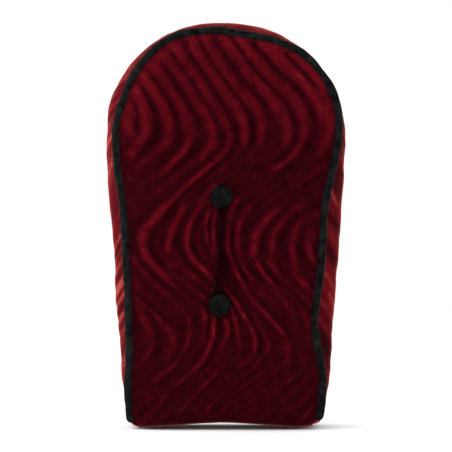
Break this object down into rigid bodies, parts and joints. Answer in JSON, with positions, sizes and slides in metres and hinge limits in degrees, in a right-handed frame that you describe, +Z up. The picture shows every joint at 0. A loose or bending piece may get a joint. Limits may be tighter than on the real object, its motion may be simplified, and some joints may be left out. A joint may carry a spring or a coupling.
{
  "type": "upholstered back pad",
  "caption": "Arched upholstered back pad on a plywood board, with a boxed velvet cover, piping over the arch and covered tufting buttons",
  "frame": {"origin": "middle of the footprint, on the surface that the bottom edge stands on", "axes": "+Z up along the pad's height, +X across the pad, front face towards -Y"},
  "size_m": [0.24, 0.0662, 0.407],
  "materials": {
    "red_velvet": "deep red crushed velvet, pile pressed in long waves",
    "black_velveteen": "black cotton velveteen, short dense pile",
    "cotton_cord": "unbleached cotton piping cord",
    "polyester_wadding": "white bonded polyester wadding",
    "seat_foam": "cream polyurethane upholstery foam",
    "plywood": "sanded birch plywood",
    "black_cambric": "black non-woven dust cover",
    "button_aluminium": "stamped bare aluminium sheet",
    "zinc_steel": "zinc-plated steel",
    "waxed_twine": "waxed nylon tufting twine"
  },
  "bodies": {
    "root": {"front_panel": "red_velvet", "side_boxing": "red_velvet", "piping_cover": "black_velveteen", "piping_cord": "cotton_cord", "wadding": "polyester_wadding", "foam_core": "seat_foam", "back_board": "plywood", "back_cloth": "black_cambric", "upper_button_cover": "black_velveteen", "upper_button_shell": "button_aluminium", "upper_button_plate": "button_aluminium", "upper_button_loop": "zinc_steel", "upper_twine": "waxed_twine", "lower_button_cover": "black_velveteen", "lower_button_shell": "button_aluminium", "lower_button_plate": "button_aluminium", "lower_button_loop": "zinc_steel", "lower_twine": "waxed_twine", "cover_staples": "zinc_steel", "cloth_staples": "zinc_steel", "twine_staples": "zinc_steel", "t_nuts": "zinc_steel"}
  },
  "joints": []
}
